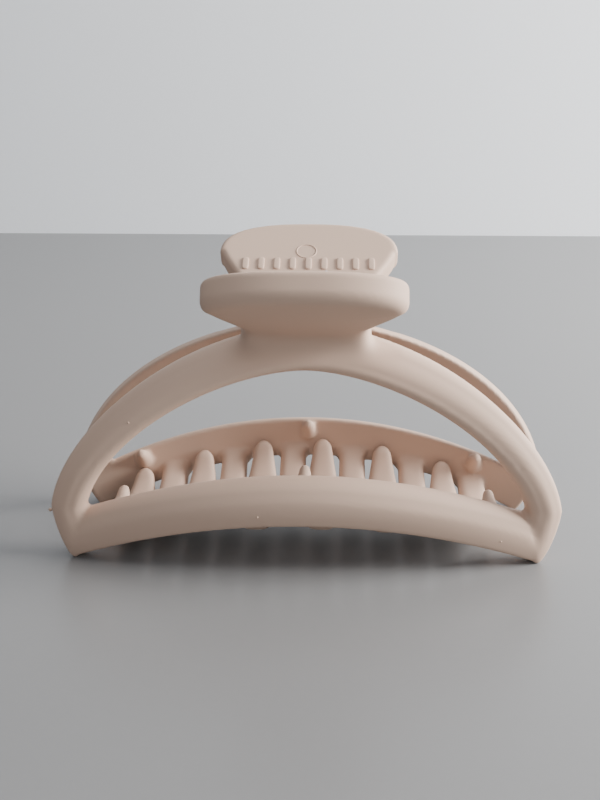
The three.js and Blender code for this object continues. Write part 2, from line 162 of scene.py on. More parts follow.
# Moulding marks: an ejector's place is its x on the bar, the lever's ring is (across, from end), and a nib is
# (x, z, half size) in millimetres.
EJECTOR_PLACES = (24.6 * MM, -32.3 * MM)
EJECTOR_DROP = 4.2 * MM
EJECTOR_RADIUS = 1.9 * MM
EJECTOR_TUBE = 0.2 * MM
LEVER_RING_PLACE = (0.5 * MM, 10.2 * MM)
LEVER_RING_RADIUS = 2.2 * MM
LEVER_RING_TUBE = 0.14 * MM
RIB_PITCH = 3.5 * MM
RIBS_EACH_SIDE = 4
RIBS_FROM_END = 14.4 * MM
RIB_HALF = (0.75 * MM, 1.9 * MM, 0.38 * MM)
NIBS = ((-9.5, 13.2, 0.3), (-36.5, 30.5, 0.26), (41, 6.4, 0.26))
GATE_NIB = (-54.9, 9.6, 0.42)


# ---- properties ------------------------------------------------------------------------------------------


def length(name, millimetres, description):
    """A length property; its default is given in millimetres."""
    return FloatProperty(
        name=name,
        description=description,
        default=millimetres * MM,
        precision=5,
        subtype="DISTANCE",
        unit="LENGTH",
    )


def number(name, default, description):
    return FloatProperty(name=name, description=description, default=default, precision=3)


def colour(name, default, description):
    return FloatVectorProperty(
        name=name, description=description, default=default, size=3, min=0, max=1, subtype="COLOR"
    )


def degrees(name, default, description):
    return FloatProperty(
        name=name, description=description, default=math.radians(default), subtype="ANGLE", unit="ROTATION"
    )


class ClipFrameSizes(bpy.types.PropertyGroup):
    """The half-moon frame of a jaw."""

    length: length("Length", (JAW_HIGH.x - JAW_LOW.x) / MM, "Over both lower corners")
    arch_height: length("Arch height", 48.5, "Top edge of the arch above the table")
    corner_level: length("Corner level", 8, "Height of the widest point")
    side_band: length("Side band", 6.9, "Width of the arch band at the corners")
    top_band: length("Top band", 7.9, "Width of the arch band at the middle")
    arch_power: number("Arch power", 1.8, "Superellipse power of the outer edge")
    window_power: number("Window power", 1.73, "Superellipse power of the inner edge")
    bar_height: length("Bar height", 9.7, "Height of the lower bar")
    bar_rise: length("Bar rise", 10.8, "Lower edge of the bar above the table, at the middle")
    foot_inset: length("Foot inset", 5.1, "From the widest point to where the bar's edge meets the table")
    corner_run: length("Corner run", 6.1, "Length of the rounded outer corner")
    corner_notch: length("Corner notch", 1.7, "From the window's side to the end of the bar's upper edge")
    notch_level: length("Notch level", 12.2, "Height at which the window's side leaves its lower corner")
    notch_point: number("Notch point", 0.8, "Extra reach of the rounding in the window's corner")
    foot_cut: length("Foot cut", 2.6, "How far the outer corner's curve is drawn below the table")
    foot_level: length("Foot level", 11.5, "Height at which the outer edge leaves its lower corner")
    wall: length("Wall", 4.5, "Thickness of the frame")
    window_round: length("Window round", 2.5, "Rounding between the outer face and the window")
    rim_round: length("Rim round", 1.7, "Rounding between the outer face and the arch's outer edge")
    bar_round: length("Bar round", 0.9, "Rounding of the bar's lower edge")
    inner_round: length("Inner round", 0.7, "Rounding of the inner face's edges")
    crown: length("Crown", 0.4, "Swell of the outer face between its edges")
    bar_slope: length("Bar slope", 1.1, "How far the upper part of the bar's face leans back")
    bar_break: number("Bar break", 0.46, "Share of the bar's face that leans back")
    belly_reach: length("Belly reach", 22, "From the middle plane to the outer face at the belly")
    belly_level: length("Belly level", 12, "Below this height the wall stands straight")
    belly_power: number("Belly power", 1.9, "Power of the belly's curve")
    shoulder_reach: length("Shoulder reach", 6.4, "The same reach at the shoulder, under the lever")
    shoulder_drop: length("Shoulder drop", 1.5, "From the top of the arch down to the shoulder")
    bow: length("Bow", 7.8, "How far the corners stand back, seen from above")


class ClipLeverSizes(bpy.types.PropertyGroup):
    """The thumb lever."""

    length: length("Length", 25.6, "From the neck to the end face")
    rise: degrees("Rise", 30, "Slope above the horizontal")
    thickness: length("Thickness", 6.3, "Through the plate")
    root: length("Root", 3.5, "How far the plate runs on into the arch")
    neck_out: length("Neck out", 0.8, "Underside of the neck outside the shoulder")
    neck_up: length("Neck up", 0.2, "Underside of the neck above the shoulder")
    neck_half: length("Neck half width", 13.1, "Half the width at the neck")
    pad_half: length("Pad half width", 20.1, "Half the width at the pad")
    pad_round: length("Pad round", 9.8, "Length over which the pad's outline closes")
    pad_power: number("Pad power", 2.5, "Superellipse power of the pad's outline")
    face_round: length("Face round", 1.1, "Rounding of the inner face's edge")
    back_round: length("Back round", 2.6, "Rounding of the underside's edge")
    back_crown: length("Back crown", 0.5, "Swell of the underside")
    neck_fillet: length("Neck fillet", 3.0, "Fillet between the underside and the arch")
    neck_flare: length("Neck flare", 0.5, "Fillet between the lever's sides and the arch")
    neck_blend: length("Neck blend", 6.5, "Reach of the extra softening round the neck")


class ClipToothSizes(bpy.types.PropertyGroup):
    """The comb teeth and the grip pegs."""

    pitch: length("Pitch", 14, "Between two teeth of a jaw")
    root_width: length("Root width", 6.0, "Width at the bar")
    shoulder_width: length("Shoulder width", 6.6, "Width where the tooth starts to narrow")
    tip_width: length("Tip width", 3.7, "Width just below the round tip")
    taper: length("Taper", 9.5, "Length over which the tooth narrows")
    tip_round: length("Tip round", 2.3, "Length of the round tip")
    root_depth: length("Root depth", 4.8, "Depth at the bar")
    tip_depth: length("Tip depth", 2.9, "Depth at the tip")
    root_rise: length("Root rise", 2.6, "Root above the bar's lower edge")
    tip_rise: length("Tip rise", 4.9, "Tip above the bar's lower edge")
    low: length("Low", 3.2, "Height that the tooth's curve leans on")
    sag: length("Sag", 3, "How much lower the curve leans towards the tip")
    tip_gap: length("Tip gap", 0.9, "Between a tip and the other jaw's bar")
    end_margin: length("End margin", 12, "No tooth stands nearer to the widest point")
    fillet: length("Fillet", 0.7, "Fillet between a tooth's sides and the bar")
    peg_spacing: length("Peg spacing", 39, "Between two pegs")
    peg_base: length("Peg base", 1.95, "Radius of a peg at the bar")
    peg_tip: length("Peg tip", 1.15, "Radius of a peg at its tip")
    peg_length: length("Peg length", 5.2, "From the bar to the tip")
    peg_drop: length("Peg drop", 2.7, "Base below the bar's top edge")
    peg_tilt: degrees("Peg tilt", 36, "Slope of a peg above the horizontal")


class ClipHingeSizes(bpy.types.PropertyGroup):
    """The hinge pin, the knuckles and the torsion spring."""

    pin_radius: length("Pin radius", 1.25, "Radius of the pin's shank")
    pin_half: length("Pin half length", PIN_HIGH.x / MM, "From the middle to the end of a head")
    head_radius: length("Head radius", (PIN_HIGH.z - HINGE_Z) / MM, "Radius of the pin's heads")
    head_length: length("Head length", 0.8, "Length of a head")
    gap: length("Running gap", 0.3, "Between pieces that turn on each other")
    knuckle_wall: length("Knuckle wall", 1.85, "Wall of a knuckle round its bore")
    knuckle_length: length("Knuckle length", 3.9, "Length of a knuckle")
    spring_bay: length("Spring bay", 9.8, "Room between the inner knuckles")
    bay_recess: length("Bay recess", 1.55, "Extra room round the spring, for its legs")
    web_half: length("Web half height", 2.2, "Half the height of a knuckle's web")
    wire_radius: length("Wire radius", 0.6, "Radius of the spring wire")
    coil_radius: length("Coil radius", 2.2, "Radius of the coil's centreline")
    coil_turns: IntProperty(name="Coil turns", description="Whole turns of the coil", default=5)
    leg_length: length("Leg length", 12, "From the coil to a leg's end")
    leg_angle: degrees("Leg angle", 24.4, "Slope of the legs above the horizontal")


class ClipFinish(bpy.types.PropertyGroup):
    """Colours and meshing."""

    plastic: colour("Plastic", (0.36, 0.172, 0.098), "Soft-touch nude plastic")
    # Deep plastic: a darker tone for the random drift, and for the painted shade in the hollows and on the
    # frame's inner side.
    plastic_deep_and_shade: colour("Plastic, deep", (0.2, 0.08, 0.04), "The same, drifting darker")
    # Painted light: the thin peg tips are tinted with this colour as a glow of light shining through them.
    amber_glow: colour("Amber", (0.9, 0.33, 0.05), "Thin tips that let light through")
    steel: colour("Steel", (0.62, 0.62, 0.63), "Pin steel")
    spring: colour("Spring", (0.52, 0.52, 0.54), "Spring wire")
    floor: colour("Floor", (0.2, 0.199, 0.2), "Table top")
    wall: colour("Wall", (0.78, 0.805, 0.84), "Backdrop")
    voxel: length("Voxel", 0.42, "Grid that merges the moulded surfaces")
    softening: IntProperty(name="Softening", description="Passes that soften the inner corners", default=3)


class ClipSettings(bpy.types.PropertyGroup):
    """All sizes and colours of the clip."""

    frame: PointerProperty(type=ClipFrameSizes)
    lever: PointerProperty(type=ClipLeverSizes)
    teeth: PointerProperty(type=ClipToothSizes)
    hinge: PointerProperty(type=ClipHingeSizes)
    finish: PointerProperty(type=ClipFinish)


# ---- surfaces --------------------------------------------------------------------------------------------


def smoothstep(value, low, high):
    share = np.clip((value - low) / (high - low), 0, 1)
    return share * share * (3 - 2 * share)


def signed_power(wave, power):
    """A wave to a power, keeping its sign: 1 draws an ellipse, less than 1 a squarer one."""
    return np.sign(wave) * np.abs(wave) ** power


def fillet(distance, radius):
    """Height of a quarter-round fillet at a distance from its wall: r - sqrt(r^2 - (r - d)^2)."""
    inside = np.clip(radius - distance, 0, radius)
    return radius - np.sqrt(radius**2 - inside**2)


def bezier(points, t):
    """Cubic Bezier curve: (1-t)^3 a + 3 (1-t)^2 t b + 3 (1-t) t^2 c + t^3 d."""
    a, b, c, d = (np.asarray(point, float) for point in points)
    t = np.asarray(t)[..., None]
    return (1 - t) ** 3 * a + 3 * (1 - t) ** 2 * t * b + 3 * (1 - t) * t**2 * c + t**3 * d


class Skin:
    """A closed triangle surface: points (n, 3) and triangles (m, 3), facing outwards."""

    def __init__(self, points, triangles):
        a, b, c = (points[triangles[:, k]] for k in range(3))
        volume = np.einsum("ij,ij->", a, np.cross(b, c))
        self.points = points
        self.triangles = triangles if volume > 0 else triangles[:, ::-1]

    @classmethod
    def of_grid(cls, grid, wrapped=False):
        """Rings of points joined side by side. Wrapped, the last ring joins the first; otherwise each end
        gets a fan."""
        rings, count = grid.shape[:2]
        ring = np.arange(rings if wrapped else rings - 1)[:, None]
        side = np.arange(count)[None, :]
        a, b = ring * count + side, ring * count + (side + 1) % count
        following = (ring + 1) % rings
        d, c = following * count + side, following * count + (side + 1) % count
        triangles = [np.stack([a, b, c], -1).reshape(-1, 3), np.stack([a, c, d], -1).reshape(-1, 3)]
        points = grid.reshape(-1, 3)
        if not wrapped:
            centres = np.stack([grid[0].mean(0), grid[-1].mean(0)])
            around = np.arange(count)
            after = (around + 1) % count
            last = (rings - 1) * count
            first_fan = np.stack([np.full(count, len(points)), after, around], -1)
            last_fan = np.stack([np.full(count, len(points) + 1), last + around, last + after], -1)
            triangles += [first_fan, last_fan]
            points = np.concatenate([points, centres])
        return cls(points, np.concatenate(triangles))

    @classmethod
    def of_mesh(cls, mesh, points):
        """The triangles of a mesh over moved points."""
        mesh.calc_loop_triangles()
        corners = np.empty(len(mesh.loop_triangles) * 3, np.int32)
        mesh.loop_triangles.foreach_get("vertices", corners)
        return cls(points, corners.reshape(-1, 3))

    @classmethod
    def joined(cls, skins):
        offsets = np.cumsum([0] + [len(skin.points) for skin in skins[:-1]])
        triangles = [skin.triangles + offset for skin, offset in zip(skins, offsets)]
        return cls(np.concatenate([skin.points for skin in skins]), np.concatenate(triangles))

    def mesh(self, name):
        mesh = bpy.data.meshes.new(name)
        mesh.vertices.add(len(self.points))
        mesh.vertices.foreach_set("co", self.points.astype(np.float32).ravel())
        mesh.loops.add(self.triangles.size)
        mesh.loops.foreach_set("vertex_index", self.triangles.astype(np.int32).ravel())
        mesh.polygons.add(len(self.triangles))
        mesh.polygons.foreach_set("loop_start", np.arange(0, self.triangles.size, 3, dtype=np.int32))
        mesh.polygons.foreach_set("use_smooth", np.ones(len(self.triangles), bool))
        mesh.update(calc_edges=True)
        mesh.validate()
        return mesh


def lathe(profile, sides):
    """A profile of (radius, x) carried round the X axis: y = r cos a, z = r sin a."""
    angle = np.linspace(0, 2 * np.pi, sides, endpoint=False)
    radius, x = profile[:, 0][:, None], profile[:, 1][:, None]
    return np.stack([x + 0 * angle, radius * np.cos(angle), radius * np.sin(angle)], -1)


def pillow(centre, half, power=0.3, sides=32):
    """A box with soft edges: each coordinate is its half size times a wave to a small power."""
    across = np.linspace(-np.pi / 2, np.pi / 2, sides)[1:-1, None]
    around = np.linspace(0, 2 * np.pi, 2 * sides, endpoint=False)[None, :]
    ring = signed_power(np.cos(across), power)
    waves = [
        ring * signed_power(np.cos(around), power),
        ring * signed_power(np.sin(around), power),
        signed_power(np.sin(across), power) + 0 * around,
    ]
    return Skin.of_grid(np.stack([c + h * w for c, h, w in zip(centre, half, waves)], -1))


def mesh_arrays(mesh):
    """Points and edges of a mesh."""
    points = np.empty(len(mesh.vertices) * 3, np.float32)
    mesh.vertices.foreach_get("co", points)
    edges = np.empty(len(mesh.edges) * 2, np.int32)
    mesh.edges.foreach_get("vertices", edges)
    return points.reshape(-1, 3).astype(float), edges.reshape(-1, 2)


def neighbour_mean(values, edges):
    """For each point, the mean of its neighbours' values."""
    count = len(values)
    ends = np.concatenate([edges[:, 0], edges[:, 1]])
    others = np.concatenate([edges[:, 1], edges[:, 0]])
    number_of = np.maximum(np.bincount(ends, minlength=count), 1)[:, None]
    sums = [np.bincount(ends, weights=column[others], minlength=count) for column in values.T]
    return np.stack(sums, -1) / number_of


def soften(points, edges, passes):
    """Smoothing that keeps the volume: a step to the neighbours' mean, then a slightly larger one back."""
    for _ in range(passes):
        points = points + 0.5 * (neighbour_mean(points, edges) - points)
        points = points - 0.53 * (neighbour_mean(points, edges) - points)
    return points


# ---- the jaw ---------------------------------------------------------------------------------------------


def bar_fall(sizes, x):
    """Fall of the bar from its middle: rise times (x / half span) squared."""
    return sizes.bar_rise * (x / (sizes.length / 2 - sizes.foot_inset)) ** 2


def bar_bottom(sizes, x):
    return sizes.bar_rise - bar_fall(sizes, x)


def bar_top(sizes, x):
    return bar_bottom(sizes, x) + sizes.bar_height


def reach(sizes, x, z):
    """From the middle plane to the outer face: belly - (belly - shoulder) u^power - bow (x / half)^2,
    where u runs from 0 at the belly's level to 1 at the shoulder."""
    shoulder = sizes.arch_height - sizes.shoulder_drop
    up = np.maximum(0, z - sizes.belly_level) / (shoulder - sizes.belly_level)
    belly = sizes.belly_reach - (sizes.belly_reach - sizes.shoulder_reach) * up**sizes.belly_power
    return belly - sizes.bow * (x / (sizes.length / 2)) ** 2


def superellipse(sizes, half_width, height, power, turn):
    """Quarter of a superellipse from its side to its top: x = a cos^(2/n), z = b sin^(2/n)."""
    angle = turn * np.pi / 2
    x = half_width * np.maximum(np.cos(angle), 0) ** (2 / power)
    z = height * np.sin(angle) ** (2 / power)
    return np.stack([x, sizes.corner_level + z], -1)


def frame_edges(sizes):
    """Inner and outer edge of the frame, as (x, z) from the bar's middle once round the jaw: a parabola
    along the bar, a Bezier curve round the corner and a superellipse over the arch. With them come two
    masks, of the bar and of the window's lower corners."""
    half = sizes.length / 2
    window = half - sizes.side_band
    inner_end = window - sizes.corner_notch
    outer_end = half - sizes.corner_run
    window_top = sizes.arch_height - sizes.top_band - sizes.corner_level
    arch_top = sizes.arch_height - sizes.corner_level
    share = np.linspace(0, 1, BAR_STATIONS, endpoint=False)
    corner = np.linspace(0, 1, CORNER_STATIONS, endpoint=False)
    turn = np.linspace(0, 1, ARCH_STATIONS)

    def side_edge(half_width, height, power, level):
        rise = (level - sizes.corner_level) / height
        first = math.asin(rise ** (power / 2)) / (math.pi / 2)
        return superellipse(sizes, half_width, height, power, first + (1 - first) * turn)

    side = side_edge(window, window_top, sizes.window_power, sizes.notch_level)
    rim = side_edge(half, arch_top, sizes.arch_power, sizes.foot_level)
    inner_start = np.array([inner_end, bar_top(sizes, inner_end)])
    slope = np.array([1, -2 * sizes.bar_rise * inner_end / (half - sizes.foot_inset) ** 2])
    step = sizes.corner_notch / 2
    inner_corner = [
        inner_start,
        inner_start + slope * step,
        side[0] - (side[1] - side[0]) * NOTCH_LEAN,
        side[0],
    ]
    outer_corner = [
        (outer_end, bar_bottom(sizes, outer_end)),
        (half - FOOT_BAR_LEAN * sizes.corner_run, -sizes.foot_cut),
        rim[0] - np.array([FOOT_SIDE_IN * sizes.corner_run, FOOT_SIDE_DOWN * sizes.foot_level]),
        rim[0],
    ]
    inner = [
        np.stack([inner_end * share, bar_top(sizes, inner_end * share)], -1),
        bezier(inner_corner, corner),
        side,
    ]
    outer = [
        np.stack([outer_end * share, bar_bottom(sizes, outer_end * share)], -1),
        bezier(outer_corner, corner),
        rim,
    ]
    on_bar = np.concatenate([np.ones(len(share)), 1 - smoothstep(corner, 0, 1), np.zeros(len(turn))])
    into_corner = (np.arange(len(on_bar)) - BAR_STATIONS) / CORNER_STATIONS
    notch = np.exp(-(((into_corner - NOTCH_PLACE) / NOTCH_SPREAD) ** 2))
    inner, outer = np.concatenate(inner), np.concatenate(outer)
    mirror = np.array([-1, 1])
    edges = [np.concatenate([edge, edge[-2:0:-1] * mirror]) for edge in (inner, outer)]
    masks = [np.concatenate([mask, mask[-2:0:-1]])[:, None] for mask in (on_bar, notch)]
    return *edges, *masks


def frame_skin(sizes):
    """The frame: a rectangle with round corners and a crowned outer face, carried along the two edges.
    A section point lies at inner edge + distance across, and depth behind the outer face along the wall's
    normal in plan, (r', 1) / sqrt(1 + r'^2), where r' is the slope of the reach along X."""
    inner_edge, outer_edge, on_bar, notch = frame_edges(sizes)
    width = np.linalg.norm(outer_edge - inner_edge, axis=1)[:, None]
    across = (outer_edge - inner_edge) / width
    quarter = np.linspace(0, np.pi / 2, EDGE_POINTS)
    cosine, sine = np.cos(quarter), np.sin(quarter)
    wall, inner = sizes.wall, sizes.inner_round
    window = sizes.window_round + 0 * on_bar
    rim = sizes.rim_round + (sizes.bar_round - sizes.rim_round) * on_bar
    window_run = window * (1 + sizes.notch_point * notch)
    face = np.linspace(0, 1, FACE_POINTS)[1:-1]
    crown = -sizes.crown * 4 * face * (1 - face)
    back = [
        (width - inner * (1 - cosine), wall - inner * (1 - sine) + 0 * width),
        (inner * (1 - sine) + 0 * width, wall - inner * (1 - cosine) + 0 * width),
    ]
    front = [
        (window_run * (1 - cosine), window * (1 - sine)),
        (window_run + (width - rim - window_run) * face, crown + 0 * width),
        (width - rim * (1 - sine), rim * (1 - cosine)),
    ]
    lean = [
        sizes.bar_slope * on_bar * np.maximum(0, 1 - distance / width / sizes.bar_break) ** SLOPE_POWER
        for distance, _ in front
    ]
    front = [(distance, depth + back_by) for (distance, depth), back_by in zip(front, lean)]
    distance = np.concatenate([part[0] for part in back + front], axis=1)
    depth = np.concatenate([part[1] for part in back + front], axis=1)
    x = inner_edge[:, :1] + across[:, :1] * distance
    z = inner_edge[:, 1:] + across[:, 1:] * distance
    slope = -2 * sizes.bow * x / (sizes.length / 2) ** 2
    normal = np.sqrt(1 + slope**2)
    points = np.stack([x + depth * slope / normal, depth / normal - reach(sizes, x, z), z], -1)
    return Skin.of_grid(points, wrapped=True)


def lever_plane(sizes, lever):
    """The lever's frame in the YZ plane: its neck, the way along the plate and the way through it."""
    shoulder = sizes.arch_height - sizes.shoulder_drop
    neck = np.array([0, -sizes.shoulder_reach - lever.neck_out, shoulder + lever.neck_up])
    along = np.array([0, -math.cos(lever.rise), math.sin(lever.rise)])
    through = np.array([0, math.sin(lever.rise), math.cos(lever.rise)])
    return neck, along, through


def on_lever(sizes, lever, across, from_end, level):
    """Points of the jaw from places on the lever: across it, from its end and above its underside."""
    neck, along, through = lever_plane(sizes, lever)
    across, from_end, level = np.broadcast_arrays(across, from_end, level)
    middle = neck + along * (lever.length - from_end)[..., None] + through * level[..., None]
    return middle + np.array([1, 0, 0]) * across[..., None]


def lever_outline(lever):
    """Half the plate's outline as (across, from end): a superellipse end, then sides that narrow to the
    neck along a smooth step and flare into the arch with a fillet."""
    angle = np.linspace(np.pi / 2, 0, PAD_STATIONS)
    end = [
        lever.pad_half * np.cos(angle) ** (2 / lever.pad_power),
        lever.pad_round * (1 - np.sin(angle) ** (2 / lever.pad_power)),
    ]
    along = np.linspace(lever.pad_round, lever.length + lever.root, SIDE_STATIONS)[1:]
    narrowing = smoothstep(along, PAD_WIDEST * lever.pad_round, lever.length - NECK_START)
    side = lever.pad_half + (lever.neck_half - lever.pad_half) * narrowing
    side = side + fillet(np.maximum(lever.length + FLARE_START - along, 0), lever.neck_flare)
    return np.stack([np.concatenate([end[0], side]), np.concatenate([end[1], along])], -1)


def lever_skin(sizes, lever):
    """The lever: its outline stacked through the thickness. Each level is set in by the rounding of the
    nearer edge, and the underside swells by a crown and drops with the fillet towards the arch."""
    half = lever_outline(lever)
    outline = np.concatenate([half[::-1], half[1:] * np.array([-1, 1])])
    tangent = np.gradient(outline, axis=0)
    normal = np.stack([tangent[:, 1], -tangent[:, 0]], -1)
    normal /= np.linalg.norm(normal, axis=1)[:, None]
    centre = np.array([0, lever.length * PAD_CENTRE])
    outwards = np.sign(np.einsum("ij,ij->i", normal, outline - centre))[:, None]
    fade = 1 - smoothstep(outline[:, 1:], lever.length - ROOT_FADE, lever.length)
    normal = normal * outwards * fade
    quarter = np.linspace(0, np.pi / 2, PLATE_EDGE_POINTS)
    cosine, sine = np.cos(quarter), np.sin(quarter)
    back, face = lever.back_round, lever.face_round
    inset = np.concatenate([back * (1 - sine), face * (1 - cosine)])
    level = np.concatenate([back * (1 - cosine), lever.thickness - face * (1 - sine)])
    loops = outline[None] - normal[None] * inset[:, None, None]
    shrink = np.linspace(0, 1, PLATE_LOOPS)[:-1, None, None]
    back_loops = centre + (loops[0] - centre) * shrink[1:]
    face_loops = centre + (loops[-1] - centre) * shrink[:0:-1]
    crown = -lever.back_crown * (1 - shrink[1:, 0, 0] ** 2)
    plan = np.concatenate([back_loops, loops, face_loops])
    level = np.concatenate([crown, level, np.full(len(face_loops), lever.thickness)])
    drop = fillet(np.maximum(lever.length - plan[..., 1], 0), lever.neck_fillet)
    under = 1 - smoothstep(level, 0, lever.thickness / 2)
    level = level[:, None] - drop * under[:, None]
    return Skin.of_grid(on_lever(sizes, lever, plan[..., 0], plan[..., 1], level))


def open_bay(skin, hinge):
    """Presses a surface out of the hinge bay, the cylinder in which the other jaw's knuckles turn, and out
    of the wider recess between the inner knuckles, in which the spring's legs swing."""
    bay = hinge.spring_bay / 2
    wider = 1 - smoothstep(np.abs(skin.points[:, 0]), bay - 0.2 * MM, bay + 0.7 * MM)
    radius = hinge.pin_radius + 2 * hinge.gap + hinge.knuckle_wall + hinge.bay_recess * wider
    half = hinge.pin_half + hinge.gap
    offset = skin.points[:, 1:] - np.array([0, HINGE_Z])
    distance = np.linalg.norm(offset, axis=1)
    inside = (distance < radius) & (np.abs(skin.points[:, 0]) < half)
    scale = np.where(inside, radius / np.maximum(distance, 1e-9), 1)
    skin.points[:, 1:] = np.array([0, HINGE_Z]) + offset * scale[:, None]
    return skin


def tooth_positions(sizes, teeth):
    """A quarter of a pitch off centre, so that a jaw turned end for end meshes with its twin."""
    limit = sizes.length / 2 - teeth.end_margin
    first = math.ceil(-limit / teeth.pitch - 0.25)
    last = math.floor(limit / teeth.pitch - 0.25)
    return teeth.pitch * (np.arange(first, last + 1) + 0.25)


def tooth_skin(sizes, teeth, x):
    """A tooth: a squarish ellipse carried along a Bezier curve from the bar, under the hair, to the other
    bar. Its width grows from the tip over the taper, and its depth from tip to root by a power."""
    root_z = bar_bottom(sizes, x) + teeth.root_rise
    tip_z = bar_bottom(sizes, x) + teeth.tip_rise
    low = teeth.low + TOOTH_LOW_FALL * bar_fall(sizes, x)
    root_y = -(reach(sizes, x, root_z) - sizes.wall / 2)
    tip_y = reach(sizes, abs(x) + teeth.tip_width / 2, tip_z) - sizes.wall - teeth.tip_gap
    root_lean = (-TOOTH_ROOT_LEAN * sizes.belly_reach, low)
    tip_lean = (TOOTH_TIP_LEAN * sizes.belly_reach, low - teeth.sag)
    t = np.sin(np.linspace(0, np.pi / 2, TOOTH_STATIONS))
    centre = bezier([(root_y, root_z), root_lean, tip_lean, (tip_y, tip_z)], t)
    tangent = np.gradient(centre, t, axis=0)
    tangent /= np.linalg.norm(tangent, axis=1)[:, None]
    run = np.concatenate([[0], np.cumsum(np.linalg.norm(np.diff(centre, axis=0), axis=1))])
    from_tip = run[-1] - run
    stops = [0, teeth.taper, run[-1]]
    width = np.interp(from_tip, stops, [teeth.tip_width, teeth.shoulder_width, teeth.root_width])
    depth = teeth.root_depth + (teeth.tip_depth - teeth.root_depth) * t**TOOTH_THINNING
    flare = fillet(np.maximum(centre[:, 0] - root_y - sizes.wall / 2, 0), teeth.fillet)
    into_tip = np.maximum(0, 1 - from_tip / teeth.tip_round)
    rounding = np.sqrt(np.maximum(1 - into_tip**2, TOOTH_TIP_FLAT))
    angle = np.linspace(0, 2 * np.pi, TOOTH_SIDES, endpoint=False)
    half_width = (width / 2 + flare) * rounding
    half_depth = depth / 2 * rounding
    across = half_width[:, None] * signed_power(np.cos(angle), TOOTH_SQUARENESS)
    up = half_depth[:, None] * signed_power(np.sin(angle), TOOTH_SQUARENESS)
    y = centre[:, :1] - tangent[:, 1:] * up
    z = centre[:, 1:] + tangent[:, :1] * up
    return Skin.of_grid(np.stack([x + across, y, z], -1))


def peg_frame(sizes, teeth, x):
    """Base point and direction of a grip peg: it leaves the bar's inner face inwards and upwards."""
    z = bar_top(sizes, x) - teeth.peg_drop
    base = np.array([x, sizes.wall - reach(sizes, x, z), z])
    return base, np.array([0, math.cos(teeth.peg_tilt), math.sin(teeth.peg_tilt)])


def peg_skin(sizes, teeth, x):
    """A peg: a cone with a fillet at its base and a round tip, carried round its own axis."""
    base, way = peg_frame(sizes, teeth, x)
    side = np.array([1, 0, 0])
    third = np.cross(way, side)
    shoulder = teeth.peg_length - teeth.peg_tip
    along = np.linspace(-sizes.wall / 2, shoulder, PEG_STATIONS)
    taper = np.clip(along / shoulder, 0, 1)
    radius = teeth.peg_base + (teeth.peg_tip - teeth.peg_base) * taper
    radius = radius + fillet(np.maximum(along, 0), PEG_FILLET)
    cap = np.linspace(0, np.pi / 2, 8)[1:-1]
    along = np.concatenate([along, shoulder + teeth.peg_tip * np.sin(cap)])
    radius = np.concatenate([radius, teeth.peg_tip * np.cos(cap)])
    angle = np.linspace(0, 2 * np.pi, PEG_SIDES, endpoint=False)
    ring = np.cos(angle)[:, None] * side + np.sin(angle)[:, None] * third
    return Skin.of_grid(base + along[:, None, None] * way + radius[:, None, None] * ring[None])


def knuckle_skins(sizes, hinge, start):
    """A knuckle: a tube with rounded rims round the hinge axis, and a soft-edged web that ties it to the
    jaw. In the tube's section radius and x are each a wave to a power about their middles."""
    bore = hinge.pin_radius + hinge.gap
    half = hinge.knuckle_length / 2
    middle = start + half
    turn = np.linspace(0, 2 * np.pi, KNUCKLE_POINTS, endpoint=False)
    radius = bore + hinge.knuckle_wall / 2 * (1 + signed_power(np.cos(turn), KNUCKLE_SQUARENESS))
    along = middle + half * signed_power(np.sin(turn), KNUCKLE_SQUARENESS)
    tube = lathe(np.stack([radius, along], -1), TURNED_SIDES)
    tube[..., 2] += HINGE_Z
    low, high = -sizes.shoulder_reach + sizes.wall / 4, -bore - hinge.knuckle_wall / 3
    web_half = (half * WEB_SHARE, (high - low) / 2, hinge.web_half)
    web = pillow((middle, (low + high) / 2, HINGE_Z), web_half, power=WEB_SQUARENESS)
    return [Skin.of_grid(tube, wrapped=True), web]


def soften_neck(points, edges, settings):
    """Draws the points round the neck towards their neighbours' mean, so that the lever flows into the
    arch. The weight fades with the distance from the neck's line, and in front of the hinge bay."""
    sizes, lever = settings.frame, settings.lever
    neck, _, _ = lever_plane(sizes, lever)
    blend = lever.neck_blend
    distance = np.linalg.norm(points[:, 1:] - neck[1:], axis=1)
    weight = 1 - smoothstep(distance, 0.5 * blend, blend)
    weight *= 1 - smoothstep(np.abs(points[:, 0]), lever.neck_half + NECK_SIDE, lever.pad_half)
    weight *= smoothstep(-points[:, 1], sizes.shoulder_reach - NECK_FRONT, sizes.shoulder_reach)
    for _ in range(NECK_PASSES):
        points = points + 0.5 * weight[:, None] * (neighbour_mean(points, edges) - points)
    return points


def peg_positions(teeth):
    return (-teeth.peg_spacing, 0, teeth.peg_spacing)


def jaw_skin(settings):
    """Every surface of the front jaw that is merged into the moulding."""
    sizes, lever, teeth, hinge = settings.frame, settings.lever, settings.teeth, settings.hinge
    inner = hinge.spring_bay / 2
    outer = inner + hinge.knuckle_length + hinge.gap
    skins = [open_bay(frame_skin(sizes), hinge), open_bay(lever_skin(sizes, lever), hinge)]
    skins += knuckle_skins(sizes, hinge, -outer - hinge.knuckle_length) + knuckle_skins(sizes, hinge, inner)
    skins += [tooth_skin(sizes, teeth, x) for x in tooth_positions(sizes, teeth)]
    skins += [peg_skin(sizes, teeth, x) for x in peg_positions(teeth)]
    whole = Skin.joined(skins)
    whole.points[:, 2] = np.maximum(whole.points[:, 2], 0)
    return whole


def merged(mesh, voxel):
    """One watertight mesh from overlapping closed surfaces, by a voxel remesh."""
    piece = bpy.data.objects.new(mesh.name, mesh)
    bpy.context.scene.collection.objects.link(piece)
    remesh = piece.modifiers.new("Merge", "REMESH")
    remesh.mode = "VOXEL"
    remesh.voxel_size = voxel
    graph = bpy.context.evaluated_depsgraph_get()
    made = bpy.data.meshes.new_from_object(piece.evaluated_get(graph))
    bpy.data.objects.remove(piece)
    return made


